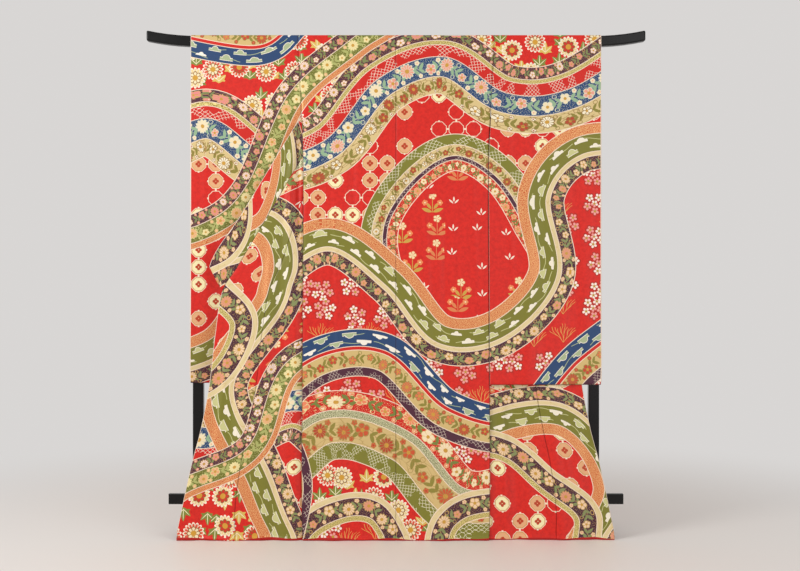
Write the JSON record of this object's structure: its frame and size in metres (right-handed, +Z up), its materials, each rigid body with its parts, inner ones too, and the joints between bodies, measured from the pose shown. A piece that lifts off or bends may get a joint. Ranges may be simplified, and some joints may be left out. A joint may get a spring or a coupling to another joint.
{
  "type": "long-sleeved silk kimono on a lacquered kimono stand",
  "caption": "Long-sleeved formal silk kimono hung by its shoulders on a black lacquered stand, back outward, with both fronts drawn out beside the back.",
  "frame": {"origin": "on the floor, under the middle of the whole object's box, below the middle of the rail", "axes": "+Z up, +X to the right when the garment's back is faced, -Y towards whoever looks at the garment's back"},
  "size_m": [1.634, 0.301, 1.6425],
  "materials": {
    "dyed_silk": "vermilion silk with a flowing dyed and gilded pattern, soft sheen",
    "black_lacquer": "wood with smooth black lacquer"
  },
  "bodies": {
    "root": {"body_left": "dyed_silk", "body_right": "dyed_silk", "okumi_left": "dyed_silk", "okumi_right": "dyed_silk", "sleeve_left": "dyed_silk", "sleeve_right": "dyed_silk", "collar": "dyed_silk", "rail": "black_lacquer", "crossbar": "black_lacquer", "post_left": "black_lacquer", "post_right": "black_lacquer", "foot_left": "black_lacquer", "foot_right": "black_lacquer"}
  },
  "joints": []
}
